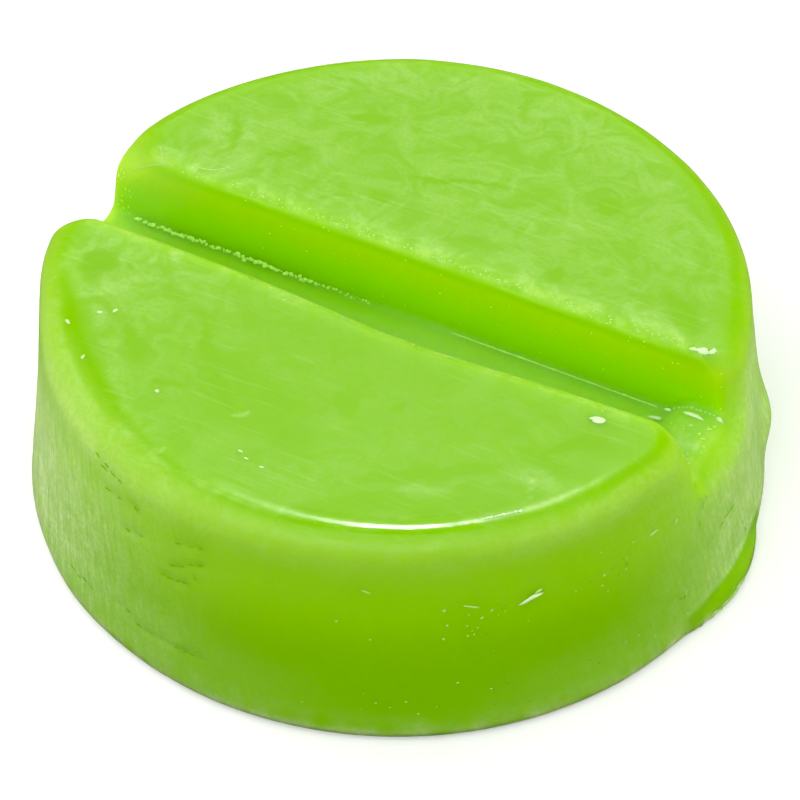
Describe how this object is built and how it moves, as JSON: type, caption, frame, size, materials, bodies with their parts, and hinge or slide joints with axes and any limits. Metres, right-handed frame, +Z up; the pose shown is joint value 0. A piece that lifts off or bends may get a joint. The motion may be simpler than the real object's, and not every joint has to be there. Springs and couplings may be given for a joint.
{
  "type": "shaving soap puck",
  "caption": "Round cast soap puck for wet shaving, with drafted sides, a rounded shoulder and one straight groove right across its top.",
  "frame": {"origin": "centre of the round resting face, on the surface that the puck stands on", "axes": "+X along the groove, +Y across the groove towards the larger top land, +Z up out of the top lands"},
  "size_m": [0.075, 0.075, 0.0256],
  "materials": {
    "soap": "lime green cast soap, slightly translucent, waxy semi-gloss with faint smears and scuffs"
  },
  "bodies": {
    "root": {"soap_puck": "soap"}
  },
  "joints": []
}
